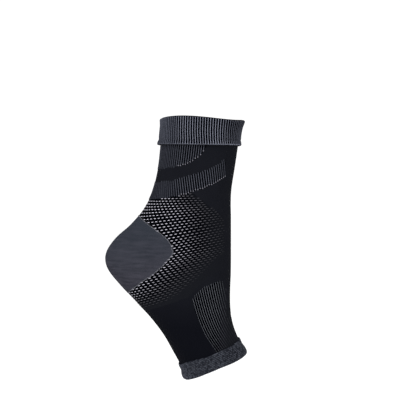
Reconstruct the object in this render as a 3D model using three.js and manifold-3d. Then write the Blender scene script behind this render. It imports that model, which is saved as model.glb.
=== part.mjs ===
// Arch support sock: an open-toed knitted compression sleeve for the ankle and the arch of the
// foot, in the shape that it keeps when it is worn with the toes pointed down.
// Frame: millimetres, +Z up the leg, +X towards the toes, mirrored across the plane Y = 0.
// The origin is the centre of the ankle, inside the sleeve.
import * as THREE from "three";
import * as BufferGeometryUtils from "three/addons/utils/BufferGeometryUtils.js";
import Module from "manifold-3d";

// Overall sizes, from the ankle centre to the outer face of the knit, and the full widths
const LEG_RISE = 114.5;
const FOOT_DROP = 130;
const HEEL_REACH = 80.5;
const INSTEP_REACH = 39;
const LEG_WIDTH = 60;
const HEEL_WIDTH = 66;
const TOE_WIDTH = 84;

// Thickness of the knit, and the gap that neighbouring pieces keep
const WALL = 1.6;
const CLEARANCE = 0.3;

// Turned-down cuff: its height, how far it stands proud, the flare of its free edge,
// how far it laps over the sleeve, and its ribs
const CUFF_HEIGHT = 24;
const CUFF_PROUD = 2.2;
const CUFF_FLARE = 1.2;
const CUFF_LAP = 4;
const CUFF_RIBS = 96;
const CUFF_RIB_DEPTH = 0.45;

// Turned toe band: its height, how far it stands proud and how far it laps over the sleeve
const TOE_BAND_HEIGHT = 14;
const TOE_PROUD = 1.4;
const TOE_LAP = 2.5;

// Mesh density: columns round the sleeve and round the toe band, and rows from section to section
const SLEEVE_COLUMNS = 34;
const TOE_COLUMNS = 44;
const ROWS_PER_SECTION = 1.5;

// Colours of the yarns, and the dull finish that they share
const CUFF_GREY = 0x42454d;
const RIB_GREY = 0x3a3d43;
const PLAIN_BLACK = 0x14171b;
const MESH_GREY = 0x2b2e33;
const HEEL_GREY = 0x44474f;
const TOE_GREY = 0x3a3d45;
const KNIT_ROUGHNESS = 0.92;

// Sections across the sleeve, from the cuff down to the toes. The back and the front end of each
// are [reach, rise] points of the side view (see sidePoint). Round fills the section out towards a
// box, lean widens it at the back (plus) or the front, and bow bends it towards the toes, as a
// share of its width.
const SECTION_TABLE = [
  // back end, front end, full width, round, lean, bow
  [[-0.316, 1.000], [1.257, 0.983], 1.05 * LEG_WIDTH, 0.10, 0, -0.025],
  [[-0.332, 0.896], [1.194, 0.884], 1.03 * LEG_WIDTH, 0.10, 0, 0],
  [[-0.346, 0.788], [1.167, 0.776], 1.02 * LEG_WIDTH, 0.10, 0, 0.016],
  [[-0.378, 0.597], [1.094, 0.606], 1.00 * LEG_WIDTH, 0.08, 0, 0.01],
  [[-0.448, 0.398], [1.013, 0.431], 0.98 * LEG_WIDTH, 0.06, -0.06, 0],
  [[-0.555, 0.253], [0.994, 0.315], 0.94 * HEEL_WIDTH, 0.06, -0.10, 0],
  [[-0.696, 0.133], [0.996, 0.245], 0.98 * HEEL_WIDTH, 0.08, -0.10, 0],
  [[-0.867, 0.025], [0.999, 0.183], 1.01 * HEEL_WIDTH, 0.12, -0.08, 0],
  [[-0.972, -0.066], [0.999, 0.116], 1.01 * HEEL_WIDTH, 0.16, -0.05, 0],
  [[-1.000, -0.142], [0.999, 0.046], 1.00 * HEEL_WIDTH, 0.18, -0.03, 0],
  [[-0.958, -0.223], [0.999, -0.044], 0.98 * HEEL_WIDTH, 0.18, 0, 0],
  [[-0.826, -0.325], [0.999, -0.146], 0.97 * HEEL_WIDTH, 0.14, 0.04, 0],
  [[-0.649, -0.442], [0.994, -0.252], 0.98 * HEEL_WIDTH, 0.10, 0.06, -0.008],
  [[-0.466, -0.563], [0.979, -0.362], 0.81 * TOE_WIDTH, 0.08, 0.08, -0.022],
  [[-0.313, -0.687], [0.982, -0.482], 0.86 * TOE_WIDTH, 0.08, 0.08, -0.035],
  [[-0.204, -0.804], [1.030, -0.599], 0.91 * TOE_WIDTH, 0.08, 0.08, -0.046],
  [[-0.111, -0.910], [1.164, -0.711], 0.95 * TOE_WIDTH, 0.08, 0.08, -0.056],
  [[-0.052, -1.000], [1.354, -0.815], 1.00 * TOE_WIDTH, 0.08, 0.08, 0.005],
];
const SECTIONS = SECTION_TABLE.map(([back, front, width, round, lean, bow]) => {
  return { back, front, width, round, lean, bow: bow * width };
});
const LAST_STATION = SECTIONS.length - 1;

// Knitted zones of the sleeve, each the area that its side view outline covers on both sides.
// The outlines are [reach, rise] points. They run past the edge of the sleeve, and past their
// neighbours, where the piece named first keeps the shared ground.
const ZONES = [
  {
    name: "achilles_rib_panel",
    colour: RIB_GREY,
    outline: [
      [-0.55, 0.94], [0.41, 0.94], [0.39, 0.765], [0.30, 0.71], [0.19, 0.672], [0.066, 0.647],
      [-0.067, 0.615], [-0.17, 0.60], [-0.354, 0.586], [-0.55, 0.58],
    ],
  },
  {
    name: "wrap_rib_band",
    colour: RIB_GREY,
    outline: [
      [-0.65, 0.478], [-0.36, 0.48], [-0.25, 0.483], [-0.15, 0.50], [0.058, 0.536], [0.30, 0.56],
      [0.46, 0.58], [0.64, 0.61], [0.78, 0.65], [0.85, 0.665], [0.844, 0.521], [0.73, 0.496],
      [0.61, 0.472], [0.42, 0.441], [0.26, 0.418], [0.084, 0.402], [-0.041, 0.38],
      [-0.168, 0.362], [-0.331, 0.345], [-0.447, 0.338], [-0.65, 0.336],
    ],
  },
  {
    name: "heel_pocket",
    colour: HEEL_GREY,
    outline: [
      [-0.80, 0.32], [-0.583, 0.19], [-0.52, 0.153], [-0.45, 0.118], [-0.338, 0.064],
      [-0.249, 0.008], [-0.206, -0.042], [-0.192, -0.076], [-0.20, -0.098], [-0.236, -0.126],
      [-0.319, -0.182], [-0.419, -0.236], [-0.548, -0.29], [-0.698, -0.364], [-0.82, -0.43],
      [-1.15, -0.43], [-1.15, 0.32],
    ],
  },
  {
    name: "instep_rib_panel",
    colour: RIB_GREY,
    outline: [
      [0.72, -0.83], [0.60, -0.764], [0.37, -0.655], [0.20, -0.546], [0.13, -0.49],
      [0.092, -0.436], [0.11, -0.41], [0.172, -0.38], [0.316, -0.34], [0.554, -0.306],
      [0.77, -0.288], [0.82, -0.32], [0.82, -0.535], [0.93, -0.565], [1.20, -0.565],
      [1.80, -0.83],
    ],
  },
  {
    name: "mesh_zone",
    colour: MESH_GREY,
    outline: [
      [-0.65, 0.40], [0.03, 0.40], [0.10, 0.377], [0.454, 0.286], [0.817, 0.192], [0.83, 0.0],
      [0.82, -0.19], [0.60, -0.235], [0.306, -0.292], [0.117, -0.346], [-0.02, -0.397],
      [-0.169, -0.43], [-0.343, -0.466], [-0.50, -0.505], [-0.62, -0.55], [-1.15, -0.55],
      [-1.15, 0.20],
    ],
  },
];
const WEB_NAME = "support_web";

// A point of the side view. Reach is a share of HEEL_REACH behind the ankle (minus) or of
// INSTEP_REACH in front of it. Rise is a share of LEG_RISE above it or of FOOT_DROP below (minus).
function sidePoint([reach, rise]) {
  const x = reach * (reach < 0 ? HEEL_REACH : INSTEP_REACH);
  const z = rise * (rise < 0 ? FOOT_DROP : LEG_RISE);
  return new THREE.Vector3(x, 0, z);
}

// A smooth curve through one point for each section
function throughSections(pointOf) {
  return new THREE.CatmullRomCurve3(SECTIONS.map(pointOf), false, "catmullrom", 0.5);
}

const BACK_LINE = throughSections(({ back }) => sidePoint(back));
const FRONT_LINE = throughSections(({ front }) => sidePoint(front));
const MIDDLE_LINE = throughSections(({ back, front }) => sidePoint(back).lerp(sidePoint(front), 0.5));
const FORM_LINE = throughSections(({ width, round, lean }) => new THREE.Vector3(width / 2, round, lean));
const BOW_LINE = throughSections(({ bow }) => new THREE.Vector3(bow, 0, 0));
const SLEEVE_LENGTH = MIDDLE_LINE.getLength();

// The place in SECTIONS, with a fraction, that lies a distance down the middle of the sleeve
function stationAt(distance) {
  return MIDDLE_LINE.getUtoTmapping(0, distance) * LAST_STATION;
}

// A point of the sleeve's outer face. Angle 0 is the back, 90 degrees the -Y side, 180 the front.
function facePoint(station, angle) {
  const share = station / LAST_STATION;
  const middle = MIDDLE_LINE.getPoint(share);
  const half = FRONT_LINE.getPoint(share).sub(BACK_LINE.getPoint(share)).divideScalar(2);
  const form = FORM_LINE.getPoint(share);
  const towardsToes = new THREE.Vector3(half.z, 0, -half.x).normalize();
  const cos = Math.cos(angle);
  const sin = Math.sin(angle);
  const point = middle.addScaledVector(half, -cos);
  point.addScaledVector(towardsToes, BOW_LINE.getPoint(share).x * sin * sin);
  point.y = -form.x * sin * (1 + form.y * cos * cos + form.z * cos);
  return point;
}

// A point a distance out from the sleeve's outer face, or in from it where out is negative
function offsetPoint(station, angle, out) {
  const step = 0.01;
  const low = Math.max(station - step, 0);
  const high = Math.min(station + step, LAST_STATION);
  const down = facePoint(high, angle).sub(facePoint(low, angle));
  const round = facePoint(station, angle + step).sub(facePoint(station, angle - step));
  const outwards = down.cross(round).normalize();
  return facePoint(station, angle).addScaledVector(outwards, out);
}

// A closed ring of knit. Its profile runs down the outside and back up the inside, and
// ribDepth is how far every other column of the profile's ribbed points lies back.
function ringGeometry(profile, columns, ribDepth = 0) {
  const positions = [];
  const triangles = [];
  const size = profile.length;
  for (let column = 0; column < columns; column += 1) {
    const angle = (2 * Math.PI * column) / columns;
    const next = (column + 1) % columns;
    profile.forEach((point, row) => {
      const groove = point.ribbed ? ribDepth * (column % 2) : 0;
      positions.push(...offsetPoint(point.station, angle, point.out - groove).toArray());
      const nextRow = (row + 1) % size;
      const [here, below] = [column * size + row, column * size + nextRow];
      const [beside, across] = [next * size + row, next * size + nextRow];
      triangles.push(here, below, beside, beside, below, across);
    });
  }
  return indexedGeometry(positions, triangles);
}

function indexedGeometry(positions, triangles) {
  const geometry = new THREE.BufferGeometry();
  geometry.setAttribute("position", new THREE.Float32BufferAttribute(positions, 3));
  geometry.setIndex(triangles);
  return geometry;
}

function knitMaterial(colour) {
  return new THREE.MeshStandardMaterial({ color: colour, roughness: KNIT_ROUGHNESS, metalness: 0 });
}

function namedMesh(name, geometry, colour) {
  geometry.computeVertexNormals();
  const mesh = new THREE.Mesh(geometry, knitMaterial(colour));
  mesh.name = name;
  return mesh;
}

// Turned-down ribbed cuff. Its upper part replaces the sleeve, and below that it laps over it.
function topCuff() {
  const down = (share) => stationAt(share * CUFF_HEIGHT);
  const lapTop = stationAt(CUFF_HEIGHT - CUFF_LAP);
  const profile = [
    { station: 0, out: 0.5 * CUFF_PROUD, ribbed: true },
    { station: down(0.06), out: CUFF_PROUD, ribbed: true },
    { station: down(0.76), out: 0.85 * CUFF_PROUD, ribbed: true },
    { station: down(0.95), out: CUFF_PROUD + CUFF_FLARE, ribbed: true },
    { station: down(1), out: CLEARANCE },
    { station: lapTop, out: CLEARANCE },
    { station: lapTop, out: -WALL },
    { station: 0, out: -WALL },
  ];
  return namedMesh("top_cuff", ringGeometry(profile, 2 * CUFF_RIBS, CUFF_RIB_DEPTH), CUFF_GREY);
}

// Turned toe band. It laps over the end of the sleeve and has a shallow groove round it.
function toeBand() {
  const bandTop = SLEEVE_LENGTH - TOE_BAND_HEIGHT;
  const down = (share) => stationAt(bandTop + share * TOE_BAND_HEIGHT);
  const lapEnd = stationAt(bandTop + TOE_LAP);
  const profile = [
    { station: down(0), out: CLEARANCE },
    { station: down(0), out: 0.7 * TOE_PROUD },
    { station: down(0.12), out: TOE_PROUD },
    { station: down(0.42), out: 0.65 * TOE_PROUD },
    { station: down(0.68), out: 1.1 * TOE_PROUD },
    { station: down(0.93), out: TOE_PROUD },
    { station: LAST_STATION, out: 0.1 * TOE_PROUD },
    { station: LAST_STATION, out: -WALL },
    { station: lapEnd, out: -WALL },
    { station: lapEnd, out: CLEARANCE },
  ];
  return namedMesh("toe_band", ringGeometry(profile, TOE_COLUMNS), TOE_GREY);
}

// The whole knitted sleeve between the cuff and the toe band, before it is cut into its zones
function sleeveGeometry() {
  const top = stationAt(CUFF_HEIGHT - CUFF_LAP + CLEARANCE);
  const end = stationAt(SLEEVE_LENGTH - TOE_BAND_HEIGHT + TOE_LAP - CLEARANCE);
  const rows = Math.round((end - top) * ROWS_PER_SECTION);
  const stations = Array.from({ length: rows + 1 }, (_, row) => top + ((end - top) * row) / rows);
  const outside = stations.map((station) => ({ station, out: 0 }));
  const inside = stations.map((station) => ({ station, out: -WALL }));
  return ringGeometry([...outside, ...inside.reverse()], SLEEVE_COLUMNS);
}

// The outline moved out by a distance, square to each of its edges
function grownOutline(points, distance) {
  const sign = THREE.ShapeUtils.isClockWise(points) ? -1 : 1;
  return points.map((point, i) => {
    const before = point.clone().sub(points.at(i - 1)).normalize();
    const after = points[(i + 1) % points.length].clone().sub(point).normalize();
    const bisector = before.clone().add(after).normalize();
    const outwards = new THREE.Vector2(bisector.y, -bisector.x).multiplyScalar(sign);
    return point.clone().addScaledVector(outwards, distance / bisector.dot(after));
  });
}

// A block that reaches through both sides of the sleeve, with the outline in its side view
function zoneBlock(outline, grow = 0) {
  const corners = outline.map(sidePoint).map((point) => new THREE.Vector2(point.x, point.z));
  const depth = 2 * Math.max(LEG_WIDTH, HEEL_WIDTH, TOE_WIDTH);
  const shape = new THREE.Shape(grownOutline(corners, grow));
  const block = new THREE.ExtrudeGeometry(shape, { depth, bevelEnabled: false });
  block.translate(0, 0, -depth / 2).rotateX(Math.PI / 2);
  return block;
}

const wasm = await Module();
wasm.setup();

function solidOf(geometry) {
  const bare = geometry.clone();
  bare.deleteAttribute("normal");
  bare.deleteAttribute("uv");
  const merged = BufferGeometryUtils.mergeVertices(bare);
  const mesh = new wasm.Mesh({
    numProp: 3,
    vertProperties: new Float32Array(merged.attributes.position.array),
    triVerts: new Uint32Array(merged.index.array),
  });
  return new wasm.Manifold(mesh);
}

function geometryOf(solid) {
  const mesh = solid.getMesh();
  return indexedGeometry(Array.from(mesh.vertProperties), Array.from(mesh.triVerts));
}

// The sleeve cut into its zones. The web is the plain knit that is left between them, and it
// joins them all from the cuff to the toe band.
function sleeveZones() {
  const sleeve = solidOf(sleeveGeometry());
  let web = sleeve;
  const meshes = ZONES.map((zone) => {
    const piece = web.intersect(solidOf(zoneBlock(zone.outline)));
    web = web.subtract(solidOf(zoneBlock(zone.outline, CLEARANCE)));
    return namedMesh(zone.name, geometryOf(piece), zone.colour);
  });
  return [...meshes, namedMesh(WEB_NAME, geometryOf(web), PLAIN_BLACK)];
}

const sock = new THREE.Group();
sock.add(topCuff(), ...sleeveZones(), toeBand());

export default sock;
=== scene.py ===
import functools
import math

import bpy
import numpy as np
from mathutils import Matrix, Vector


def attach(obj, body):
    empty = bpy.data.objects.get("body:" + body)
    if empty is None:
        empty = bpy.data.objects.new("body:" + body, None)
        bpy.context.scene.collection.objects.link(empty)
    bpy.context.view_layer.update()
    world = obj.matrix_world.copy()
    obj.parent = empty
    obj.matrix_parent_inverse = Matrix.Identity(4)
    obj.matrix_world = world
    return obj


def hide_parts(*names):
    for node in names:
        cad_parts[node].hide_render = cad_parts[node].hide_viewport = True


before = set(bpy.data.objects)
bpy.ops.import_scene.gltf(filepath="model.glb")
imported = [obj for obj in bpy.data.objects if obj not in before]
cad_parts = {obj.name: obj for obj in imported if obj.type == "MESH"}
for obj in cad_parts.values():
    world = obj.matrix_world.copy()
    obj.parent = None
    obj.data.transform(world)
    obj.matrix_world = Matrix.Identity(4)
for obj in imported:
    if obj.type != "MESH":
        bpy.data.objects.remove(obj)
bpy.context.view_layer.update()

MM = 0.001

# Driving sizes, from the ankle centre to the outer face of the knit, and the full widths
LEG_RISE = 114.5 * MM
FOOT_DROP = 130 * MM
HEEL_REACH = 80.5 * MM
INSTEP_REACH = 39 * MM
LEG_WIDTH = 60 * MM
HEEL_WIDTH = 66 * MM
TOE_WIDTH = 84 * MM
WALL = 1.6 * MM

# Turned-down cuff: how far its face stands out, its edge flares and its ribs stand on its ground
CUFF_HEIGHT = 24 * MM
CUFF_PROUD = 2.2 * MM
CUFF_FLARE = 1.2 * MM
CUFF_LAP = 4 * MM
CUFF_RIB_PROUD = 0.35 * MM
HEM_THICK = 1.1 * MM

# Turned toe band, whose upper edge dips at the sides and whose ground lies under its loops
TOE_BAND_HEIGHT = 14 * MM
TOE_PROUD = 1.4 * MM
TOE_LAP = 2.5 * MM
TOE_DIP = 3.4 * MM
TOE_GROUND = 0.2 * MM

# Knit gauge: wales round the sleeve, columns round a welt, the height of a stitch, ribs round the
# leg, ribs at the side and the front of the instep and their pitch, and the pitch of the rest
GROUND_WALES = 192
WELT_COLUMNS = 384
COURSE = 1.15 * MM
CUFF_RIBS = 96
ACHILLES_RIBS = 98
WRAP_RIBS = 94
INSTEP_RIBS = 19
FRONT_RIBS = 6
INSTEP_PITCH = 2.1 * MM
CUFF_COURSE = 1.2 * MM
HEM_STITCHES = 220
TOE_WALES = 200
TOE_COURSE = 1.1 * MM
JOIN_PITCH = 1.1 * MM

# How deep the ground of the ribs is sunk, and how far pieces stop short of an end
GROOVE = 0.4 * MM
END_GAP = 0.3 * MM

# Sections down the sleeve: back end and front end as shares of reach and rise, the full width as
# a share of a named width, then round, lean and bow, as in the solids
SECTION_TABLE = [
    (-0.316, 1.000, 1.257, 0.983, 1.05, LEG_WIDTH, 0.10, 0, -0.025),
    (-0.332, 0.896, 1.194, 0.884, 1.03, LEG_WIDTH, 0.10, 0, 0),
    (-0.346, 0.788, 1.167, 0.776, 1.02, LEG_WIDTH, 0.10, 0, 0.016),
    (-0.378, 0.597, 1.094, 0.606, 1.00, LEG_WIDTH, 0.08, 0, 0.01),
    (-0.448, 0.398, 1.013, 0.431, 0.98, LEG_WIDTH, 0.06, -0.06, 0),
    (-0.555, 0.253, 0.994, 0.315, 0.94, HEEL_WIDTH, 0.06, -0.10, 0),
    (-0.696, 0.133, 0.996, 0.245, 0.98, HEEL_WIDTH, 0.08, -0.10, 0),
    (-0.867, 0.025, 0.999, 0.183, 1.01, HEEL_WIDTH, 0.12, -0.08, 0),
    (-0.972, -0.066, 0.999, 0.116, 1.01, HEEL_WIDTH, 0.16, -0.05, 0),
    (-1.000, -0.142, 0.999, 0.046, 1.00, HEEL_WIDTH, 0.18, -0.03, 0),
    (-0.958, -0.223, 0.999, -0.044, 0.98, HEEL_WIDTH, 0.18, 0, 0),
    (-0.826, -0.325, 0.999, -0.146, 0.97, HEEL_WIDTH, 0.14, 0.04, 0),
    (-0.649, -0.442, 0.994, -0.252, 0.98, HEEL_WIDTH, 0.10, 0.06, -0.008),
    (-0.466, -0.563, 0.979, -0.362, 0.81, TOE_WIDTH, 0.08, 0.08, -0.022),
    (-0.313, -0.687, 0.982, -0.482, 0.86, TOE_WIDTH, 0.08, 0.08, -0.035),
    (-0.204, -0.804, 1.030, -0.599, 0.91, TOE_WIDTH, 0.08, 0.08, -0.046),
    (-0.111, -0.910, 1.164, -0.711, 0.95, TOE_WIDTH, 0.08, 0.08, -0.056),
    (-0.052, -1.000, 1.354, -0.815, 1.00, TOE_WIDTH, 0.08, 0.08, 0.005),
]
LAST_STATION = len(SECTION_TABLE) - 1

# Side view outlines of the knitted zones, [reach, rise] shares as in the solids. The zone named
# first keeps the ground that two of them share, and the plain web takes what none of them covers.
ZONE_OUTLINES = {
    "achilles_rib_panel": [
        (-0.55, 0.94), (0.41, 0.94), (0.39, 0.765), (0.30, 0.71), (0.19, 0.672), (0.066, 0.647),
        (-0.067, 0.615), (-0.17, 0.60), (-0.354, 0.586), (-0.55, 0.58),
    ],
    "wrap_rib_band": [
        (-0.65, 0.478), (-0.36, 0.48), (-0.25, 0.483), (-0.15, 0.50), (0.058, 0.536), (0.30, 0.56),
        (0.46, 0.58), (0.64, 0.61), (0.78, 0.65), (0.85, 0.665), (0.844, 0.521), (0.73, 0.496),
        (0.61, 0.472), (0.42, 0.441), (0.26, 0.418), (0.084, 0.402), (-0.041, 0.38),
        (-0.168, 0.362), (-0.331, 0.345), (-0.447, 0.338), (-0.65, 0.336),
    ],
    "heel_pocket": [
        (-0.80, 0.32), (-0.583, 0.19), (-0.52, 0.153), (-0.45, 0.118), (-0.338, 0.064),
        (-0.249, 0.008), (-0.206, -0.042), (-0.192, -0.076), (-0.20, -0.098), (-0.236, -0.126),
        (-0.319, -0.182), (-0.419, -0.236), (-0.548, -0.29), (-0.698, -0.364), (-0.82, -0.43),
        (-1.15, -0.43), (-1.15, 0.32),
    ],
    "instep_rib_panel": [
        (0.72, -0.83), (0.60, -0.764), (0.37, -0.655), (0.20, -0.546), (0.13, -0.49),
        (0.092, -0.436), (0.11, -0.41), (0.172, -0.38), (0.316, -0.34), (0.554, -0.306),
        (0.77, -0.288), (0.82, -0.32), (0.82, -0.535), (0.93, -0.565), (1.20, -0.565),
        (1.80, -0.83),
    ],
    "mesh_zone": [
        (-0.65, 0.40), (0.03, 0.40), (0.10, 0.377), (0.454, 0.286), (0.817, 0.192), (0.83, 0.0),
        (0.82, -0.19), (0.60, -0.235), (0.306, -0.292), (0.117, -0.346), (-0.02, -0.397),
        (-0.169, -0.43), (-0.343, -0.466), (-0.50, -0.505), (-0.62, -0.55), (-1.15, -0.55),
        (-1.15, 0.20),
    ],
}
ZONE_NAMES = list(ZONE_OUTLINES) + ["support_web"]


# The surface of the sleeve

def side_points(points):
    """Side view points in metres, from [reach, rise] shares."""
    reach, rise = np.asarray(points, float).T
    x = reach * np.where(reach < 0, HEEL_REACH, INSTEP_REACH)
    z = rise * np.where(rise < 0, FOOT_DROP, LEG_RISE)
    return np.stack([x, z], -1)


def section_columns():
    """Back x and z, front x and z, half width, round, lean and bow of every section."""
    table = np.array(SECTION_TABLE, float)
    width = table[:, 4] * table[:, 5]
    back, front = side_points(table[:, 0:2]), side_points(table[:, 2:4])
    return np.column_stack([back, front, width / 2, table[:, 6:8], table[:, 8] * width])


SECTIONS = section_columns()


def on_curve(table, place):
    """A row between the rows of a table, on a smooth curve through them and just past them."""
    place = np.asarray(place, float)
    i = np.clip(np.floor(place).astype(int), 0, len(table) - 2)
    t = (place - i)[..., None]
    ends = np.vstack([2 * table[0] - table[1], table, 2 * table[-1] - table[-2]])
    p0, p1, p2, p3 = ends[i], ends[i + 1], ends[i + 2], ends[i + 3]
    bend = 2 * p0 - 5 * p1 + 4 * p2 - p3
    return 0.5 * (2 * p1 + (p2 - p0) * t + bend * t**2 + (3 * (p1 - p2) + p3 - p0) * t**3)


def section_at(station):
    """The columns of SECTIONS at a station."""
    return on_curve(SECTIONS, station)


def face_point(station, angle):
    """Points of the outer face."""
    station, angle = np.broadcast_arrays(np.asarray(station, float), np.asarray(angle, float))
    row = section_at(station)
    back, front = row[..., 0:2], row[..., 2:4]
    half = (front - back) / 2
    to_toes = np.stack([half[..., 1], -half[..., 0]], -1)
    to_toes /= np.linalg.norm(to_toes, axis=-1, keepdims=True)
    cos, sin = np.cos(angle), np.sin(angle)
    side = (back + front) / 2 - half * cos[..., None] + to_toes * (row[..., 7] * sin**2)[..., None]
    y = -row[..., 4] * sin * (1 + row[..., 5] * cos**2 + row[..., 6] * cos)
    return np.stack([side[..., 0], y, side[..., 1]], -1)


def unit(vectors):
    """Vectors of length one that point the same way."""
    return vectors / np.linalg.norm(vectors, axis=-1, keepdims=True)


def outward(station, angle, step=0.01):
    """Unit normals of the outer face."""
    down = face_point(station + step, angle) - face_point(station - step, angle)
    round_it = face_point(station, angle + step) - face_point(station, angle - step)
    return unit(np.cross(down, round_it))


def knit_point(station, angle, out):
    """Points a distance out from the outer face."""
    out = np.broadcast_to(np.asarray(out, float), np.broadcast(station, angle).shape)
    return face_point(station, angle) + outward(station, angle) * out[..., None]


# How far apart the two places lie, in stations or in angle, that give a stitch its direction
STEP = 0.04


def down_knit(station, angle):
    """Unit vectors straight down the knit."""
    return unit(face_point(station + STEP, angle) - face_point(station - STEP, angle))


def across_rows(station, angle):
    """Unit vectors square to the rows and flat on the knit."""
    along_row = face_point(station, angle + STEP) - face_point(station, angle - STEP)
    return unit(np.cross(outward(station, angle), along_row))


def middle_lengths(steps_a_station=40):
    """Stations close together, and the length of the middle of the sleeve down to each."""
    stations = np.linspace(0, LAST_STATION, steps_a_station * LAST_STATION + 1)
    rows = section_at(stations)
    middle = (rows[:, 0:2] + rows[:, 2:4]) / 2
    steps = np.linalg.norm(np.diff(middle, axis=0), axis=1)
    return stations, np.concatenate([[0], np.cumsum(steps)])


MIDDLE_STATIONS, MIDDLE_LENGTHS = middle_lengths()
SLEEVE_LENGTH = MIDDLE_LENGTHS[-1]

# Length of one station at the top and at the toe end
TOP_RATE, END_RATE = np.diff(MIDDLE_LENGTHS)[[0, -1]] / np.diff(MIDDLE_STATIONS)[[0, -1]]


def station_at(distance):
    """The station that lies a distance down the middle of the sleeve, run on past both ends."""
    distance = np.asarray(distance, float)
    past = np.minimum(distance, 0) / TOP_RATE + np.maximum(distance - SLEEVE_LENGTH, 0) / END_RATE
    return np.interp(distance, MIDDLE_LENGTHS, MIDDLE_STATIONS) + past


# The zones begin under the cuff and end under the toe band
CUFF_HEM = station_at(CUFF_HEIGHT)
SLEEVE_TOP = station_at(CUFF_HEIGHT - CUFF_LAP)
BAND_START = SLEEVE_LENGTH - TOE_BAND_HEIGHT
SLEEVE_END = station_at(BAND_START + TOE_DIP + TOE_LAP)

# Every half degree from the back to the front, on one side
HALF_TURN = np.linspace(0, math.pi, 361)


@functools.lru_cache(maxsize=None)
def arc_table(station):
    """Length along a section from the back to each angle of HALF_TURN."""
    ring = face_point(station, HALF_TURN)
    return np.concatenate([[0], np.cumsum(np.linalg.norm(np.diff(ring, axis=0), axis=1))])


def angle_from_front(station, arc):
    """The angle that lies an arc from the front of a section. A minus arc is on the +Y side."""
    lengths = arc_table(float(station))
    angle = np.interp(lengths[-1] - np.abs(arc), lengths, HALF_TURN)
    return np.where(np.asarray(arc) < 0, 2 * math.pi - angle, angle)


def angle_at_share(station, share):
    """The angle at a share of the way round a section. Shares 0 and 1 are both at the back."""
    lengths = arc_table(float(station))
    share = np.asarray(share, float) % 1.0
    one_side = np.interp(np.minimum(share, 1 - share) * 2 * lengths[-1], lengths, HALF_TURN)
    return np.where(share > 0.5, 2 * math.pi - one_side, one_side)


def ring_angles(station, count, first=0.0):
    """Angles an even step apart round a section, the first one a part of a step from the back."""
    return angle_at_share(station, (np.arange(count) + first) / count)


def inside(points, outline):
    """Whether side view points lie inside an outline, both as arrays of x and z."""
    x, z = points[..., 0], points[..., 1]
    result = np.zeros(x.shape, bool)
    for (x0, z0), (x1, z1) in zip(outline, np.roll(outline, -1, axis=0)):
        crosses = (z0 > z) != (z1 > z)
        if z1 != z0:
            result ^= crosses & (x < (x1 - x0) * (z - z0) / (z1 - z0) + x0)
    return result


def zone_of(positions):
    """The number of the zone that covers each position, or the number of zones for the web."""
    side = positions[..., [0, 2]]
    zone = np.full(side.shape[:-1], len(ZONE_OUTLINES))
    for number, outline in reversed(list(enumerate(ZONE_OUTLINES.values()))):
        zone[inside(side, side_points(outline))] = number
    return zone


def in_zone(positions, name):
    """Whether positions lie in the zone of that name."""
    return zone_of(positions) == ZONE_NAMES.index(name)


# Tones of the yarns, from 0, dark, to 1, light, and shares of the ground's second colour

# The tone of the faintest dot that is knitted
FAINTEST_DOT = 0.01


def tone_across(positions, places, tones):
    """Tones from a table of places in millimetres, counted from the ankle towards the front."""
    return np.interp(positions[..., 0] / MM, places, tones)


def cuff_highlight_tone(positions):
    """Ribs of the cuff carry a painted highlight in the middle of the side, and painted shade at
    its back and front, where they turn away from view.
    """
    return tone_across(positions, [-30.4, -27.55, -23.75, -14.25, -3.8, 24.7, 36.1, 45.6, 48.45],
                       [0.04, 0.08, 0.17, 0.24, 0.66, 0.66, 0.22, 0.14, 0.05])


def leg_tone(positions):
    """Ribs of the leg are lightest beside the ankle and a little in front of it."""
    return tone_across(positions, [-30.4, -17.1, -7.6, 19, 32.3], [0.12, 0.21, 0.37, 0.37, 0.18])


def instep_shaded_tone(positions):
    """Ribs of the instep are painted darker towards the front, as painted shade where they turn
    edge-on to view, and a little darker towards the toes.
    """
    across = tone_across(positions, [13.3, 24.7, 31.35, 36.1], [0.78, 0.57, 0.27, 0.11])
    return across * np.interp(-positions[..., 2], [68 * MM, 98 * MM], [1, 0.6])


def toe_tone(positions):
    """Loops of the toe band are a little lighter in the middle of the side."""
    return tone_across(positions, [-7.6, 5.7, 14.25, 28.5, 39.9], [0.34, 0.38, 0.44, 0.44, 0.34])


def dot_tone(positions):
    """Dots are bright by the heel and sink into the black towards the instep, sole and wrap."""
    x, up = positions[..., 0] / MM, positions[..., 2] / MM
    fade = x + 1.05 * np.maximum(0, -up - 9.5) + 0.9 * np.maximum(0, up - 24.7)
    fade += 0.5 * np.maximum(0, -up - 45.6) + 1.2 * np.maximum(0, -up - 55.1)
    return np.interp(fade, [-38, -23.75, -9.5, -1.9, 5.7, 13.3, 20.9, 28.5, 34.2],
                     [0.9, 0.8, 0.66, 0.42, 0.23, 0.13, 0.07, 0.035, 0.0])


def back_painted_light(positions):
    """From none at the side of the leg to all at its back, where the grooves between the ribs get
    painted light.
    """
    return np.interp(-positions[:, 0], [9 * MM, 27 * MM], [0, 1])


def to_sole(positions):
    """From none at the ankle to all at the sole, but none along the front of the instep."""
    down = np.interp(-positions[:, 2], [40 * MM, 80 * MM], [0, 1])
    return down * np.interp(positions[:, 0], [20 * MM, 28 * MM], [1, 0])


def heel_top_painted_shade(positions):
    """From none under the heel to most of it at the top of the pocket, where the knit gets painted
    shade against the light that falls on its top.
    """
    return np.interp(positions[:, 2], [-40 * MM, 15 * MM], [0, 0.7])


def past_dots(positions):
    """From none where the dots of the mesh are bright to all where they have sunk in."""
    return np.interp(dot_tone(positions), [FAINTEST_DOT, 0.16], [1, 0])


def past_ribs(positions):
    """From none beside the instep to all at its front, where the ribs are painted dark as painted
    shade.
    """
    return np.interp(positions[:, 0], [25 * MM, 32 * MM], [0, 1])


# Node graphs, for materials and for geometry

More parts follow.
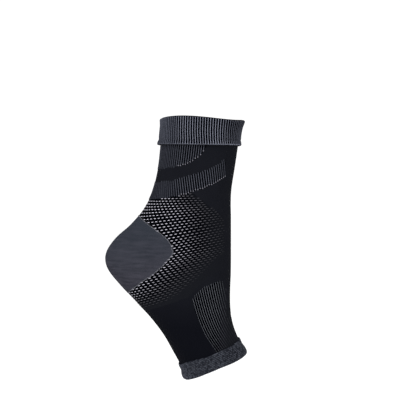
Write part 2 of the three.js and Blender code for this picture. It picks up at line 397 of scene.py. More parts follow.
class Wire:
    """A node's output socket, or a number made by one, that Python expressions can use."""

    def __init__(self, graph, socket):
        self.graph = graph
        self.socket = socket

    def _math(self, operation, *values):
        return self.graph.node("ShaderNodeMath", {"operation": operation}, *values)

    def __add__(self, other):
        return self._math("ADD", self, other)

    def __radd__(self, other):
        return self._math("ADD", other, self)

    def __sub__(self, other):
        return self._math("SUBTRACT", self, other)

    def __rsub__(self, other):
        return self._math("SUBTRACT", other, self)

    def __mul__(self, other):
        return self._math("MULTIPLY", self, other)

    def __rmul__(self, other):
        return self._math("MULTIPLY", other, self)

    def absolute(self):
        return self._math("ABSOLUTE", self)

    def fract(self):
        return self._math("FRACT", self)

    def clamped(self):
        return self.graph.node("ShaderNodeMath", {"operation": "ADD", "use_clamp": True}, self, 0.0)

    def out(self, name):
        """Another output of the same node."""
        return Wire(self.graph, self.socket.node.outputs[name])


class Graph:
    """A node tree that is built by calls."""

    def __init__(self, tree):
        self.tree = tree
        tree.nodes.clear()

    def node(self, kind, settings=None, *values, **named):
        """Adds a node, sets its settings first, then its inputs by place or by name."""
        node = self.tree.nodes.new(kind)
        for key, value in (settings or {}).items():
            setattr(node, key, value)
        for i, value in enumerate(values):
            self.join(node.inputs[i], value)
        for key, value in named.items():
            self.join(node.inputs[key.replace("_", " ")], value)
        return Wire(self, node.outputs[0]) if len(node.outputs) else node

    def join(self, socket, value):
        """Links a wire to an input, or sets the input to a value."""
        if isinstance(value, Wire):
            self.tree.links.new(value.socket, socket)
        elif value is not None:
            socket.default_value = value


# Materials

# Scales of the noises: clouds in the knit, streaks across its height, and fibres of a yarn
CLOUD_SCALE = 90.0
STREAK_STRETCH = (60.0, 60.0, 500.0)
FIBRE_SCALE = 2500.0


def linear(colour):
    """A scene colour from its red, green and blue on a screen, from 0 to 255."""
    shares = [value / 255 for value in colour]
    return (*(s / 12.92 if s <= 0.04045 else ((s + 0.055) / 1.055) ** 2.4 for s in shares), 1.0)


def principled(name, build, gloss, sheen):
    """A dull knit material. build(graph) returns the wires of its colour and of its normal."""
    material = bpy.data.materials.new(name)
    material.use_nodes = True
    graph = Graph(material.node_tree)
    colour, normal = build(graph)
    shader = graph.node(
        "ShaderNodeBsdfPrincipled", None, Base_Color=colour, Normal=normal, Roughness=0.9,
        Specular_IOR_Level=gloss, Sheen_Weight=sheen, Sheen_Roughness=0.5)
    graph.node("ShaderNodeOutputMaterial", None, Surface=shader)
    return material


def mixed(graph, factor, first, second):
    """A colour between two colours, each a wire or four numbers."""
    mix = graph.node("ShaderNodeMix", {"data_type": "RGBA", "clamp_factor": True}).socket.node
    for place, value in ((0, factor), (6, first), (7, second)):
        graph.join(mix.inputs[place], value)
    return Wire(graph, mix.outputs[2])


def separated(graph, vector):
    """The three numbers of a vector."""
    node = graph.node("ShaderNodeSeparateXYZ", None, vector).socket.node
    return [Wire(graph, socket) for socket in node.outputs]


def share_of(graph, name):
    """The number that the piece keeps under a name for every place on it."""
    return graph.node("ShaderNodeAttribute", {"attribute_name": name}).out("Fac")


def noise(graph, scale, detail=2.0, stretch=(1.0, 1.0, 1.0)):
    """Noise over the part, finer along the axes that stretch makes larger."""
    place = graph.node("ShaderNodeTexCoord").out("Object")
    place = graph.node("ShaderNodeVectorMath", {"operation": "MULTIPLY"}, place, stretch)
    return graph.node("ShaderNodeTexNoise", None, Vector=place, Scale=scale, Detail=detail)


def fine_knit(name, yarn, gap, relief, mottle, turn=None, streaks=0.0):
    """Plain knit whose small V stitches follow the piece's own stitch map, one unit a stitch. turn
    is the colour that the knit turns to, by the share that the piece keeps as "turn"; on the rib
    and cuff grounds that turn is painted light, on the heel pocket painted shade."""
    def build(graph):
        across, along, _ = separated(graph, graph.node("ShaderNodeUVMap", {"uv_map": "stitches"}))
        side = (across.fract() - 0.5).absolute() * 2
        leg = 1 - (side - 0.5).absolute() * 2
        row = ((along + side * 0.5).fract() - 0.5).absolute() * 2
        height = leg * 0.7 + (1 - row) * leg * 0.6
        cloud = (noise(graph, CLOUD_SCALE) - 0.5) * mottle
        if streaks:
            cloud = cloud + (noise(graph, 1.0, 4.0, STREAK_STRETCH) - 0.5) * streaks
        shade = (height + cloud).clamped()
        bump = graph.node("ShaderNodeBump", None, Strength=0.6, Distance=relief, Height=height)
        colour = mixed(graph, shade, linear(gap), linear(yarn))
        if turn:
            colour = mixed(graph, share_of(graph, "turn").clamped(), colour, linear(turn))
        return colour, bump
    return principled(name, build, gloss=0.01, sheen=0.0)


def bare_yarn(name, dark, light):
    """Yarn of one stitch each, between dark and light by the tone that the stitch carries."""
    def build(graph):
        fibre = noise(graph, FIBRE_SCALE, 3.0)
        shade = (share_of(graph, "tone") + (fibre - 0.5) * 0.25).clamped()
        bump = graph.node("ShaderNodeBump", None, Strength=0.5, Distance=0.15 * MM, Height=fibre)
        return mixed(graph, shade, linear(dark), linear(light)), bump
    return principled(name, build, gloss=0.05, sheen=0.01)


# Plain knits: the colours of the yarn and of the gaps, the height of the relief, how cloudy the
# knit is, the colour that it turns to, and how streaky it is
PLAIN_KNITS = {
    "plain_knit": ((22, 23, 28), (13, 14, 18), 0.25 * MM, 0.5, (10, 11, 16)),
    "mesh_ground": ((4, 5, 8), (1, 1, 3), 0.25 * MM, 0.4, (18, 19, 23)),
    # The rib ground turns lighter at the back of the leg: painted light in its grooves.
    "rib_ground": ((8, 9, 14), (3, 4, 7), 0.25 * MM, 0.4, (32, 33, 40)),
    "instep_ground": ((3, 4, 7), (1, 1, 3), 0.25 * MM, 0.4, (18, 19, 23)),
    # The heel knit turns darker at the top of the pocket: painted shade.
    "heel_knit": ((58, 57, 65), (34, 35, 41), 0.2 * MM, 0.8, (38, 43, 50), 1.8),
    # The cuff ground turns lighter at the back of the leg: painted light in its grooves.
    "cuff_ground": ((7, 8, 14), (2, 3, 7), 0.25 * MM, 0.4, (40, 42, 51)),
    "toe_ground": ((28, 30, 37), (13, 14, 19), 0.25 * MM, 0.6),
}

# Yarns of the stitches that lie on the knits: their dark and their light colour
YARNS = {
    "cuff_yarn": ((14, 16, 25), (158, 162, 178)),
    "rib_yarn": ((13, 15, 21), (118, 121, 134)),
    "instep_yarn": ((12, 14, 18), (122, 125, 133)),
    "dot_yarn": ((12, 13, 17), (206, 204, 216)),
    "toe_yarn": ((22, 24, 31), (76, 79, 88)),
    "join_yarn": ((50, 51, 58), (160, 161, 168)),
}
MATERIALS = {name: fine_knit(name, *finish) for name, finish in PLAIN_KNITS.items()}
MATERIALS.update({name: bare_yarn(name, *shades) for name, shades in YARNS.items()})


# Meshes

def linked(name, data):
    """An object of that name in the scene."""
    obj = bpy.data.objects.new(name, data)
    bpy.context.scene.collection.objects.link(obj)
    return obj


def new_object(name, vertices, faces, material=None):
    """A mesh object, with one of MATERIALS if that is named."""
    mesh = bpy.data.meshes.new(name)
    mesh.from_pydata(np.asarray(vertices).tolist(), [], np.asarray(faces).tolist())
    if material:
        mesh.materials.append(MATERIALS[material])
    return linked(name, mesh)


def finish_piece(obj, slot, *nodes):
    """Smooth the piece, fix it to the part and hide the solids that it stands for."""
    obj.data.shade_smooth()
    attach(obj, "root")
    if nodes:
        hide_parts(*nodes)


def set_attribute(mesh, name, kind, values):
    """Keeps a number or a vector for every vertex."""
    attribute = mesh.attributes.new(name, kind, "POINT")
    key = "vector" if kind == "FLOAT_VECTOR" else "value"
    attribute.data.foreach_set(key, np.asarray(values, np.float32).ravel())


def grid_places(rows, columns):
    """Row numbers and column numbers of a grid."""
    return np.meshgrid(np.arange(rows), np.arange(columns), indexing="ij")


def stitch_map(mesh, per_vertex):
    """Keeps a place in the knit for each vertex as the UV map that the knit materials read. A face
    that closes the ring goes on counting its wales instead of starting again."""
    corners = np.empty(len(mesh.loops), np.int32)
    mesh.loops.foreach_get("vertex_index", corners)
    place = np.asarray(per_vertex, np.float32)[corners].reshape(-1, 4, 2)
    wales = place[:, :, 0]
    behind = wales < wales.max(axis=1, keepdims=True) - GROUND_WALES / 2
    wales[behind] += GROUND_WALES
    layer = mesh.uv_layers.new(name="stitches")
    layer.data.foreach_set("uv", place.ravel())


def grid_cells(rows, columns):
    """Corner numbers of each cell of a closed ring grid, as (row, column) blocks of four."""
    row, column = grid_places(rows - 1, columns)
    beside = (column + 1) % columns
    here, below = row * columns + column, (row + 1) * columns + column
    return np.stack([here, below, (row + 1) * columns + beside, row * columns + beside], -1)


def shell_of_cells(chosen, cells, outer, inner):
    """A closed shell over the chosen cells: outer faces, inner faces and walls at the edge."""
    count = len(outer)
    picked = cells[chosen]
    faces = [picked, picked[:, ::-1] + count]
    edges = np.concatenate([picked[:, [i, (i + 1) % 4]] for i in range(4)])
    keys = {(a, b) for a, b in edges.tolist()}
    walls = [(b, a, a + count, b + count) for a, b in sorted(keys) if (b, a) not in keys]
    faces = np.concatenate([*faces, np.array(walls)])
    used, faces = np.unique(faces, return_inverse=True)
    return np.vstack([outer, inner])[used], faces.reshape(-1, 4), used % count


def ring_mesh(name, profile, columns, material):
    """A closed ring from a profile of (station, out) pairs, down the outside and up the inside.
    Each of them is one number, or one for each column."""
    rows = []
    for station, out in profile:
        angles = ring_angles(np.clip(np.mean(station), 0, LAST_STATION), columns)
        rows.append(knit_point(station, angles, out))
    count = len(rows)
    cells = grid_cells(count + 1, columns).reshape(-1, 4) % (count * columns)
    obj = new_object(name, np.concatenate(rows), cells, material)
    row_number, column_number = grid_places(count, columns)
    courses = SLEEVE_LENGTH / COURSE / LAST_STATION
    down = np.array([np.mean(station) for station, _ in profile]) * courses
    place = np.stack([column_number * GROUND_WALES / columns, down[row_number]], -1)
    stitch_map(obj.data, place.reshape(-1, 2))
    # The turn share, which the cuff ground reads as painted light at the back of the leg.
    set_attribute(obj.data, "turn", "FLOAT", back_painted_light(np.concatenate(rows)))
    return obj


# Stitches: points that carry where a stitch lies, turned into small V stitches by Geometry Nodes

def group_tree(name, inputs):
    """A geometry tree's graph, with a Geometry input and output and the named inputs, and the
    node that gives those inputs."""
    tree = bpy.data.node_groups.new(name, "GeometryNodeTree")
    tree.interface.new_socket("Geometry", in_out="INPUT", socket_type="NodeSocketGeometry")
    for key, kind in inputs.items():
        tree.interface.new_socket(key, in_out="INPUT", socket_type=kind)
    tree.interface.new_socket("Geometry", in_out="OUTPUT", socket_type="NodeSocketGeometry")
    graph = Graph(tree)
    return graph, graph.node("NodeGroupInput")


def point_vector(graph, name):
    """The vector that each point keeps under a name."""
    return graph.node("GeometryNodeInputNamedAttribute", {"data_type": "FLOAT_VECTOR"}, name)


def stitch_tree():
    """Sets one V stitch at every point, turned to the knit and sized by the point."""
    graph, source = group_tree("stitch_rows", {
        "Leg Sides": "NodeSocketInt", "Leg Rings": "NodeSocketInt",
        "Leg Lean": "NodeSocketFloat", "Leg Apart": "NodeSocketFloat",
        "Leg Width": "NodeSocketFloat", "Leg Length": "NodeSocketFloat",
        "Yarn": "NodeSocketMaterial",
    })
    ball = graph.node(
        "GeometryNodeMeshUVSphere", None, source.out("Leg Sides"), source.out("Leg Rings"), 0.5)
    size = graph.node(
        "ShaderNodeCombineXYZ", None, source.out("Leg Width"), source.out("Leg Length"), 1.0)
    legs = graph.node("GeometryNodeJoinGeometry")
    for side in (-1, 1):
        lean = graph.node("ShaderNodeCombineXYZ", None, Z=source.out("Leg Lean") * float(side))
        apart = graph.node("ShaderNodeCombineXYZ", None, X=source.out("Leg Apart") * (side / 2))
        leg = graph.node(
            "GeometryNodeTransform", None,
            Geometry=ball, Translation=apart, Rotation=lean, Scale=size)
        graph.join(legs.socket.node.inputs[0], leg)
    facing = graph.node(
        "FunctionNodeAxesToRotation", {"primary_axis": "Z", "secondary_axis": "Y"},
        point_vector(graph, "facing"), point_vector(graph, "along"))
    placed = graph.node(
        "GeometryNodeInstanceOnPoints", None, Points=source.out("Geometry"), Instance=legs,
        Rotation=facing, Scale=point_vector(graph, "size"))
    real = graph.node("GeometryNodeRealizeInstances", None, placed)
    smooth = graph.node("GeometryNodeSetShadeSmooth", None, real)
    finished = graph.node(
        "GeometryNodeSetMaterial", None, Geometry=smooth, Material=source.out("Yarn"))
    graph.node("NodeGroupOutput", None, finished)
    return graph.tree


# Shapes of a stitch. The lean is an angle, and the other sizes are shares of the stitch's own.
STITCH_TREE = stitch_tree()
STITCH_DEFAULTS = {
    "Leg Sides": 5, "Leg Rings": 4, "Leg Apart": 0.5, "Leg Lean": 0.33, "Leg Width": 0.52,
    "Leg Length": 1.3,
}
RIB_SHAPE = {"Leg Apart": 0.38, "Leg Lean": 0.14, "Leg Width": 0.6, "Leg Length": 1.8}
DOT_SHAPE = {"Leg Sides": 8, "Leg Apart": 0.2, "Leg Lean": 0.0, "Leg Width": 0.8, "Leg Length": 1.0}


def grown_mesh(obj, tree, values):
    """Gives an object the plain mesh that a geometry tree makes of it."""
    modifier = obj.modifiers.new("growth", "NODES")
    modifier.node_group = tree
    for item in tree.interface.items_tree:
        if item.in_out == "INPUT" and item.name in values:
            modifier[item.identifier] = values[item.name]
    bpy.context.view_layer.update()
    evaluated = obj.evaluated_get(bpy.context.evaluated_depsgraph_get())
    mesh = bpy.data.meshes.new_from_object(evaluated)
    obj.modifiers.remove(modifier)
    mesh.name = obj.name
    obj.data = mesh


def stitches(name, rows, material, slot, **shape):
    """One piece of V stitches. rows is a list of (station, angle, out, size, tone, along) arrays,
    where size is width, length and thickness, and along is the way that the stitch points."""
    station, angle, out, size, tone, along = [np.concatenate(values) for values in zip(*rows)]
    obj = new_object(name, knit_point(station, angle, out), np.empty((0, 3), int))
    vectors = {"facing": outward(station, angle), "along": along, "size": size}
    for key, values in vectors.items():
        set_attribute(obj.data, key, "FLOAT_VECTOR", values)
    set_attribute(obj.data, "tone", "FLOAT", tone)
    grown_mesh(obj, STITCH_TREE, {**STITCH_DEFAULTS, **shape, "Yarn": MATERIALS[material]})
    for spare in vectors:
        obj.data.attributes.remove(obj.data.attributes[spare])
    finish_piece(obj, slot)


RANDOM = np.random.default_rng(7)


def spread(low, high, count):
    """Random numbers, evenly spread."""
    return RANDOM.uniform(low, high, count)


def sized(width, length, thickness, count, vary=0.08):
    """Sizes of stitches, each varied a little."""
    base = np.tile([width, length, thickness], (count, 1))
    return base * RANDOM.uniform(1 - vary, 1 + vary, (count, 3))


# The ground knit of the zones

# How far each zone's ground is sunk, its material, its slot and where its colour turns. The turn
# is painted light at the back of the rib zones and painted shade at the top of the heel pocket.
ZONE_FINISH = {
    "achilles_rib_panel": (GROOVE, "rib_ground", "rib_knit", back_painted_light),
    "wrap_rib_band": (GROOVE, "rib_ground", "rib_knit", back_painted_light),
    "heel_pocket": (0.0, "heel_knit", "heel_knit", heel_top_painted_shade),
    "instep_rib_panel": (0.5 * GROOVE, "instep_ground", "rib_knit", past_ribs),
    "mesh_zone": (0.5 * GROOVE, "mesh_ground", "mesh_knit", past_dots),
    "support_web": (0.0, "plain_knit", "plain_knit", to_sole),
}

# Zones whose ground rises to the plain knit as its colour turns
RISING_ZONES = ("instep_rib_panel", "mesh_zone")

# A bend of the shells' faces that is sharper than this is an edge
EDGE_ANGLE = math.radians(50)


def zone_shells():
    """The ground knit of each zone, in cells of one stitch, with the rib and mesh zones sunk."""
    rows = int(round(SLEEVE_LENGTH / COURSE))
    first, last = np.interp([SLEEVE_TOP, SLEEVE_END], MIDDLE_STATIONS, MIDDLE_LENGTHS)
    stations = station_at(np.linspace(first + END_GAP, last - END_GAP, rows))
    angles = np.array([ring_angles(station, GROUND_WALES) for station in stations])
    grid = np.broadcast_to(stations[:, None], angles.shape)
    face = face_point(grid, angles).reshape(-1, 3)
    inner = knit_point(grid, angles, -WALL).reshape(-1, 3)
    cells = grid_cells(rows, GROUND_WALES)
    zones = zone_of(face[cells].mean(axis=2))
    place = np.stack(grid_places(rows, GROUND_WALES)[::-1], -1).reshape(-1, 2)
    for number, name in enumerate(ZONE_NAMES):
        sunk, material, slot, turn = ZONE_FINISH[name]
        level = 1 - turn(face).reshape(grid.shape) if name in RISING_ZONES else 1
        outer = knit_point(grid, angles, -sunk * level).reshape(-1, 3)
        vertices, faces, used = shell_of_cells(zones == number, cells, outer, inner)
        obj = new_object(name + "_knit", vertices, faces, material)
        stitch_map(obj.data, place[used])
        set_attribute(obj.data, "turn", "FLOAT", turn(vertices))
        finish_piece(obj, slot, name)
        obj.data.set_sharp_from_angle(angle=EDGE_ANGLE)


# The ribs

# The ribs of the wrap slant: how far round they go in half turns for each station down, counted
# from one in the middle of the band, and how many more there are at each end for it
WRAP_SLANT = 0.062
WRAP_MIDDLE = 3.9
WRAP_SPARE = 8

# Stations down the instep, and how far in millimetres its first rib lies from the front there
INSTEP_STATIONS = [12, 12.98, 13.88, 14.9, 16.08, 17]
INSTEP_FIRST = [55.4, 53.5, 51.9, 49.7, 47.4, 45.6]

# The ribs at the side of the instep stop this far short of the front, in metres and in angle
FRONT_GAP = 0.8 * MM
FRONT_TURN = 0.02

# The instep's ribs start a little behind its panel and run on over the strip of plain knit in
# front of it, which lies between two places across and below a height
RUN_BACK = 1.2 * MM
STRIP_BACK = 25 * MM
STRIP_FRONT = 34 * MM
STRIP_TOP = -45 * MM

# The ribs of the leg have a bright end where they lie in front of this place
RIB_ENDS_BACK = -11.4 * MM


def rib_lines(ribs, first, last):
    """Stations, angles, positions and directions of every stitch of the ribs, with a row for each
    course and a column for each rib. ribs(station) gives each rib's angle, or not a number."""
    start, end = np.interp([first, last], MIDDLE_STATIONS, MIDDLE_LENGTHS)
    stations = station_at(np.arange(start + COURSE / 2, end, COURSE))
    angles = np.array([ribs(station) for station in stations])
    before = np.array([ribs(station - STEP) for station in stations])
    stations = np.broadcast_to(stations[:, None], angles.shape)
    positions = face_point(stations, angles)
    return stations, angles, positions, unit(positions - face_point(stations - STEP, before))


def achilles_ribs(station):
    return ring_angles(station, ACHILLES_RIBS, 0.5)


def wrap_ribs(station):
    half = (np.arange(-WRAP_SPARE, WRAP_RIBS // 2 + WRAP_SPARE) + 0.5) / (WRAP_RIBS / 2)
    half = half + WRAP_SLANT * (station - WRAP_MIDDLE)
    half = np.where((half > 0) & (half < 1), half, np.nan) / 2
    return angle_at_share(station, np.concatenate([half, 1 - half]))


def instep_ribs(station):
    """Ribs an even step apart as seen from the side, then an even step apart across the front."""
    first = np.interp(station, INSTEP_STATIONS, INSTEP_FIRST) * MM
    row = section_at(station)
    half = np.hypot(row[2] - row[0], row[3] - row[1]) / 2
    pitch = INSTEP_PITCH * np.interp(station, [12, 14, 17], [1.03, 0.97, 0.88])
    from_front = 1 + np.cos(angle_from_front(station, first))
    from_front = from_front - np.arange(INSTEP_RIBS) * pitch / half
    side = np.arccos(np.where(from_front * half > FRONT_GAP, from_front, np.nan) - 1)
    front = angle_from_front(station, (np.arange(FRONT_RIBS) + 0.5) * INSTEP_PITCH)
    front = np.where(front > np.nanmax(side) + FRONT_TURN, front, np.nan)
    side = np.concatenate([side, front])
    return np.concatenate([side, 2 * math.pi - side])


def instep_ground(positions):
    """Where the instep's ribs lie: on its panel, just behind it and on the strip in front."""
    x, z = positions[..., 0], positions[..., 2]
    strip = (x > STRIP_BACK) & (x < STRIP_FRONT) & (z < STRIP_TOP)
    behind = in_zone(positions + [RUN_BACK, 0, 0], "instep_rib_panel")
    panel = in_zone(positions, "instep_rib_panel")
    return behind | panel | (strip & in_zone(positions, "support_web"))


def rib_rows(lines, ground, width, out, tone):
    """The stitches of rib lines where ground(positions) says that they lie. tone(positions) is
    their tone before it varies."""
    stations, angles, positions, along = lines
    keep = ground(positions) & np.isfinite(along[..., 0])
    count = keep.sum()
    size = sized(width, 1.05 * COURSE, 0.7 * MM, count)
    tones = tone(positions[keep]) * spread(0.85, 1.15, count)
    return stations[keep], angles[keep], np.full(count, out), size, tones, along[keep]


def rib_ends(lines, ground, width=0.9 * MM, out=0.1 * MM, tone=0.3):
    """A bright stitch at the lower end of every rib, beside and in front of the ankle."""
    stations, angles, positions, along = lines
    covered = np.isfinite(along[..., 0]) & ground(positions)
    ends = covered & ~np.roll(covered, -1, axis=0) & (positions[..., 0] > RIB_ENDS_BACK)
    count = ends.sum()
    size = sized(width, width, 0.9 * MM, count)
    tones = np.full(count, tone)
    return stations[ends], angles[ends], np.full(count, out), size, tones, along[ends]


def rib_zones():
    """The ribs of the leg, of the wrap and of the instep. Each set runs between two stations."""
    achilles = rib_lines(achilles_ribs, CUFF_HEM - 0.3, 4.6)
    wrap = rib_lines(wrap_ribs, 2.3, 5.6)
    instep = rib_lines(instep_ribs, 11.6, SLEEVE_END)
    achilles_ground = functools.partial(in_zone, name="achilles_rib_panel")
    wrap_ground = functools.partial(in_zone, name="wrap_rib_band")
    rows = [rib_rows(achilles, achilles_ground, 0.53 * MM, 0.0, leg_tone)]
    stitches("achilles_rib_stitches", rows, "rib_yarn", "rib_knit", **RIB_SHAPE)
    rows = [rib_rows(wrap, wrap_ground, 0.58 * MM, 0.0, leg_tone)]
    stitches("wrap_rib_stitches", rows, "rib_yarn", "rib_knit", **RIB_SHAPE)
    # The instep's ribs take painted shade towards the front.
    rows = [rib_rows(instep, instep_ground, 0.22 * MM, -0.1 * MM, instep_shaded_tone)]
    stitches("instep_rib_stitches", rows, "instep_yarn", "rib_knit", **RIB_SHAPE)
    rows = [rib_ends(achilles, achilles_ground), rib_ends(wrap, wrap_ground)]
    stitches("rib_end_stitches", rows, "dot_yarn", "rib_knit")


# The dots of the mesh and the row of stitches that joins the heel

# The net of mesh dots, for every fifth row of dots: the station beside the ankle and its change
# from dot to dot, then in millimetres the arc from the front, the pitch, and what the square of
# the place adds to the arc
DOT_NET = np.array([
    (3.94, 0.017, 57.9, 3.98, -0.024), (4.63, 0.013, 60.7, 4.09, -0.019),
    (5.58, 0.009, 63.5, 4.21, -0.014), (7.03, 0.004, 64.0, 4.32, -0.009),
    (8.6, 0.0, 61.9, 4.40, -0.004), (9.78, -0.003, 61.2, 4.54, 0.0),
    (10.57, -0.005, 63.3, 4.76, 0.003), (11.31, -0.006, 66.1, 4.90, 0.006),
    (11.95, -0.008, 67.3, 4.89, 0.009), (12.55, -0.010, 67.2, 4.77, 0.011),
    (13.15, -0.012, 66.3, 4.62, 0.013), (13.8, -0.012, 65.5, 4.50, 0.013),
])
ROWS_A_LINE = 5
DOT_PLACES = np.arange(-14, 16)


def mesh_dots():
    """Dots of the mesh. Every other row is half a pitch over."""
    rows = []
    for row in range(ROWS_A_LINE * len(DOT_NET) - ROWS_A_LINE + 1):
        middle, change, arc, pitch, square = on_curve(DOT_NET, row / ROWS_A_LINE)
        place = DOT_PLACES + (0.5 if row % 2 else 0.0)
        arcs = (arc - pitch * place + square * place**2) * MM
        half = arc_table(float(middle))[-1]
        on_side = (arcs > 0) & (arcs < half - 0.3 * pitch * MM)
        angle = angle_from_front(middle, arcs[on_side])
        angle = np.concatenate([angle, 2 * math.pi - angle])
        station = middle + change * np.tile(place[on_side], 2)
        rows.append((station, angle, np.full(len(angle), pitch * MM)))
    stations, angles, pitches = [np.concatenate(values) for values in zip(*rows)]
    positions = face_point(stations, angles)
    tone = dot_tone(positions)
    keep = in_zone(positions, "mesh_zone") & (tone > FAINTEST_DOT)
    stations, angles, pitches, tone = stations[keep], angles[keep], pitches[keep], tone[keep]
    count = len(stations)
    size = sized(1.0, 0.63 * MM, 0.6 * MM, count, 0.04)
    size[:, 0] *= pitches * np.interp(tone, [0.1, 0.5], [0.72, 0.54])
    size[:, 1] *= np.interp(tone, [0.1, 0.5], [0.85, 1])
    tone = tone * spread(0.9, 1.1, count)
    out = np.full(count, -0.1 * MM)
    rows = [(stations, angles, out, size, tone, across_rows(stations, angles))]
    stitches("mesh_dot_stitches", rows, "dot_yarn", "mesh_knit", **DOT_SHAPE)


def along_outline(name, pitch, rows=900, columns=240, farthest=1 * MM):
    """Stations and angles of places a pitch apart along a zone's outline, on both sides. They are
    the nearest of a fine grid on the face, where one lies near enough."""
    outline = side_points(ZONE_OUTLINES[name])
    steps = np.linalg.norm(np.diff(outline, axis=0), axis=1)
    lengths = np.concatenate([[0], np.cumsum(steps)])
    wanted = np.arange(pitch / 2, lengths[-1], pitch)
    points = np.stack([np.interp(wanted, lengths, outline[:, i]) for i in range(2)], -1)
    station, angle = np.meshgrid(
        np.linspace(2, LAST_STATION, rows), np.linspace(0.01, math.pi - 0.01, columns),
        indexing="ij")
    surface = face_point(station, angle)[..., [0, 2]].reshape(-1, 2)
    found = np.array([np.argmin(((surface - point) ** 2).sum(1)) for point in points])
    found = found[np.linalg.norm(surface[found] - points, axis=1) < farthest]
    station, angle = station.ravel()[found], angle.ravel()[found]
    return np.concatenate([station, station]), np.concatenate([angle, 2 * math.pi - angle])


def heel_join():
    station, angle = along_outline("heel_pocket", JOIN_PITCH)
    count = len(station)
    size = sized(0.7 * MM, 1.0 * MM, 0.5 * MM, count)
    tone = 0.3 + spread(-0.1, 0.1, count)
    rows = [(station, angle, np.full(count, 0.05 * MM), size, tone, down_knit(station, angle))]
    stitches("heel_join_stitches", rows, "join_yarn", "heel_knit")


# The cuff

# The section that shares out the ribs of the cuff, and the heights down its face that have a row
CUFF_MIDDLE = 0.5
CUFF_ROWS = [0, 0.008, 0.02, 0.05, 0.1, 0.2, 0.3, 0.4, 0.5, 0.6, 0.7, 0.76, 0.8, 0.84, 0.88, 0.92,
             0.96, 0.985]


def cuff_edge(angle):
    """How far the free edge of the cuff stands out, a little uneven round the leg."""
    return CUFF_FLARE * (0.85 + 0.15 * np.cos(angle)) * (1 + 0.12 * np.sin(7 * angle))


def cuff_out(down, angle):
    """How far the ribs of the cuff stand out at a share of its height down."""
    proud = np.interp(down, [0, 0.01, 0.03, 0.3, 0.74, 0.8, 1], [0.7, 0.9, 1, 1, 0.96, 0.8, 0.9])
    fold = 0.9 * MM * np.cos(angle) ** 2 * np.interp(down, [0, 0.04, 0.25], [1, 0.8, 0])
    edge = cuff_edge(angle) * np.interp(down, [0.8, 0.88, 0.94, 1], [0, 0.6, 1, 0.9])
    return proud * CUFF_PROUD + fold + edge


def cuff_ground(down, angle):
    """How far the ground under the ribs of the cuff stands out."""
    return cuff_out(down, angle) - CUFF_RIB_PROUD


def cuff_station(down, angle):
    """Stations at a share of the cuff's height down. The fold rises towards the back of the
    sides and at the front, and the free edge rises at the front."""
    to_front = (1 - np.cos(angle)) / 2
    rise = 2.2 * MM * np.abs(np.sin(angle)) * np.cos(angle) + 1.6 * MM * to_front**8
    lift = 0.5 * MM * (1 - np.cos(angle))
    return station_at(down * CUFF_HEIGHT - rise * (1 - down) ** 2 - lift * down**2)


def top_cuff():
    """The cuff's ground, from the fold down its face, round the hem and up the inside."""
    angle = ring_angles(CUFF_MIDDLE, WELT_COLUMNS)
    profile = [(cuff_station(down, angle), cuff_ground(down, angle)) for down in CUFF_ROWS]
    profile += [
        (cuff_station(1.0, angle), cuff_ground(1.0, angle) - 0.4 * HEM_THICK),
        (cuff_station(0.985, angle), cuff_ground(1.0, angle) - HEM_THICK),
        (cuff_station(0.93, angle), cuff_ground(0.93, angle) - 1.2 * HEM_THICK),
    ]
    lap = CUFF_HEIGHT - CUFF_LAP
    profile += [(station_at(lap), END_GAP), (station_at(lap), -WALL)]
    profile += [(station_at(down * lap), -WALL) for down in (0.8, 0.6, 0.4, 0.2, 0.05)]
    profile += [(cuff_station(0.01, angle), -0.8 * WALL), (cuff_station(0, angle), -0.2 * WALL)]
    obj = ring_mesh("top_cuff_knit", profile, WELT_COLUMNS, "cuff_ground")
    finish_piece(obj, "cuff_knit", "top_cuff")


def cuff_ribs():
    """The cuff's ribs, which lean a little at the fold, and the loops of its hem."""
    rows = []
    upright = ring_angles(CUFF_MIDDLE, CUFF_RIBS, 0.5)
    for down in np.arange(0.06, 0.975, CUFF_COURSE / CUFF_HEIGHT):
        angle = upright - 0.08 * (1 - down) * np.sin(upright)
        station = cuff_station(down, angle)
        size = sized(0.44 * MM, 1.35 * MM, 0.9 * MM, CUFF_RIBS, 0.04)
        # The tone carries a painted highlight in the middle of the side and painted shade at the
        # back and front.
        tone = cuff_highlight_tone(face_point(station, angle)) * spread(0.9, 1.1, CUFF_RIBS)
        rows.append((station, angle, cuff_out(down, angle), size, tone, down_knit(station, angle)))
    hem = ring_angles(CUFF_HEM, HEM_STITCHES, 0.5)
    station = cuff_station(0.985, hem)
    size = sized(0.8 * MM, 0.8 * MM, 0.7 * MM, HEM_STITCHES)
    tone = np.interp(hem, [0, 1.6, 2.6, math.pi], [0.1, 0.2, 0.42, 0.3])
    tone = tone * spread(0.6, 1.3, HEM_STITCHES)
    out = cuff_out(0.985, hem) - 0.2 * MM
    rows.append((station, hem, out, size, tone, down_knit(station, hem)))
    stitches("cuff_rib_stitches", rows, "cuff_yarn", "cuff_knit", **RIB_SHAPE)


# The toe band

# Shares of the band's height down, and how far its face stands out there, by TOE_PROUD
BAND_ROWS = [0, 0.015, 0.05, 0.12, 0.25, 0.42, 0.55, 0.68, 0.8, 0.9, 0.95, 0.985, 1]
BAND_FACE = [0.2, 0.55, 0.85, 1, 0.85, 0.65, 0.85, 1.1, 1.1, 1.0, 0.85, 0.6, 0.1]


def from_back(angle):
    """The angle from the back, on either side."""
    return np.minimum(angle, 2 * math.pi - angle)


def band_out(share, angle):
    """How far the face of the toe band stands out at a share of its height down, and further
    under the foot."""
    face = np.interp(share, BAND_ROWS, BAND_FACE)
    return face * TOE_PROUD * (1 + 0.7 * share * np.maximum(np.cos(angle), 0))


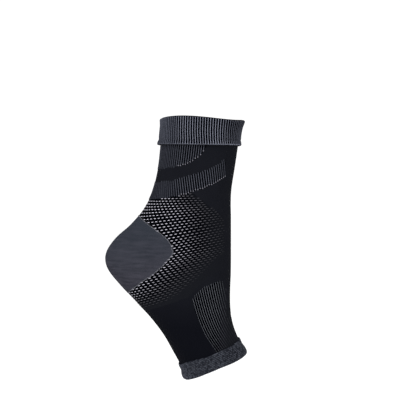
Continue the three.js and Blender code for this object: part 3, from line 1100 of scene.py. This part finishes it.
def band_height(angle):
    """The height of the band, whose upper edge dips at the sides of the foot."""
    dip = np.interp(from_back(angle), [0, 0.45, 0.7, 0.9, 1.1, 1.25, 1.4, 1.6, 2.0, 2.4, math.pi],
                    [-0.66, -0.6, -0.42, -0.18, 0.2, 0.52, 0.78, 0.94, 1, 0.8, 0.2])
    return TOE_BAND_HEIGHT - dip * TOE_DIP


def band_station(share, angle):
    """Stations at a share of the band's height down. Its free edge ends a little higher at the
    sides than under the foot and at the front."""
    run = np.interp(from_back(angle), [0, 0.6, 1.3, 1.7, 2.1, 2.5, math.pi],
                    [0.2, -0.3, -0.8, -0.7, 0.1, 0.6, 0.6]) * MM
    return station_at(SLEEVE_LENGTH - (1 - share) * band_height(angle) + run * share**2)


def toe_band():
    """The band's ground, down its face, up the inside and out again over the end of the sleeve."""
    angle = ring_angles(LAST_STATION, WELT_COLUMNS)
    profile = [(band_station(share, angle), band_out(share, angle) - TOE_GROUND)
               for share in BAND_ROWS]
    profile += [(station_at(SLEEVE_LENGTH - up * MM), -WALL) for up in (0.8, 2.0, 3.4, 4.8)]
    lap = station_at(BAND_START + TOE_DIP + TOE_LAP + END_GAP)
    profile += [(lap, -WALL), (lap, END_GAP), (band_station(0.03, angle), END_GAP)]
    obj = ring_mesh("toe_band_knit", profile, WELT_COLUMNS, "toe_ground")
    finish_piece(obj, "toe_knit", "toe_band")


def toe_stitches():
    """The loops of the band, in rows up from its free edge, of light and dark yarns mixed."""
    rows = []
    wales = ring_angles(LAST_STATION - 0.5, TOE_WALES, 0.5)
    for up in np.arange(0.2 * MM, np.max(band_height(wales)), TOE_COURSE):
        angle = wales[up < 0.97 * band_height(wales)]
        share = 1 - up / band_height(angle)
        station = band_station(share, angle)
        size = sized(1.15 * MM, 1.15 * MM, 0.6 * MM, len(angle))
        tone = toe_tone(face_point(station, angle)) + spread(-0.4, 0.4, len(angle))
        rows.append((station, angle, band_out(share, angle), size, tone, down_knit(station, angle)))
    stitches("toe_band_stitches", rows, "toe_yarn", "toe_knit")


# The studio

def set_camera():
    """A long lens at the ankle's height, looking along +Y."""
    data = bpy.data.cameras.new("camera")
    data.lens = 104.2
    data.sensor_width = 36
    data.clip_start = 0.05
    camera = linked("camera", data)
    camera.location = (0.0095, -1.10, 0.038)
    camera.rotation_euler = (math.pi / 2, 0, 0)
    bpy.context.scene.camera = camera


def add_light(name, place, size, power):
    """A square light that points at the ankle centre."""
    data = bpy.data.lights.new(name, "AREA")
    data.energy = power
    data.size = size
    light = linked(name, data)
    light.location = place
    light.rotation_euler = (-Vector(place)).to_track_quat("-Z", "Y").to_euler()


def set_studio(floor_reach=8, floor_height=-0.2):
    """White surroundings, a key light, a fill light and a pale floor below the part."""
    scene = bpy.context.scene
    scene.view_settings.view_transform = "Standard"
    world = bpy.data.worlds.new("studio")
    world.use_nodes = True
    sky = world.node_tree.nodes["Background"].inputs
    sky["Color"].default_value = (1, 1, 1, 1)
    sky["Strength"].default_value = 1.1
    scene.world = world
    add_light("key", (-0.9, -1.4, 1.2), 0.9, 26)
    add_light("fill", (1.3, -1.2, 0.5), 1.2, 6)
    corners = [(x * floor_reach, y * floor_reach, floor_height)
               for x, y in ((-1, -1), (1, -1), (1, 1), (-1, 1))]
    floor = new_object("floor", corners, [(0, 1, 2, 3)])
    material = bpy.data.materials.new("pale_floor")
    material.use_nodes = True
    finish = material.node_tree.nodes["Principled BSDF"].inputs
    finish["Base Color"].default_value = (0.95, 0.95, 0.95, 1)
    finish["Roughness"].default_value = 1.0
    floor.data.materials.append(material)


set_camera()
set_studio()
zone_shells()
top_cuff()
cuff_ribs()
toe_band()
toe_stitches()
rib_zones()
mesh_dots()
heel_join()
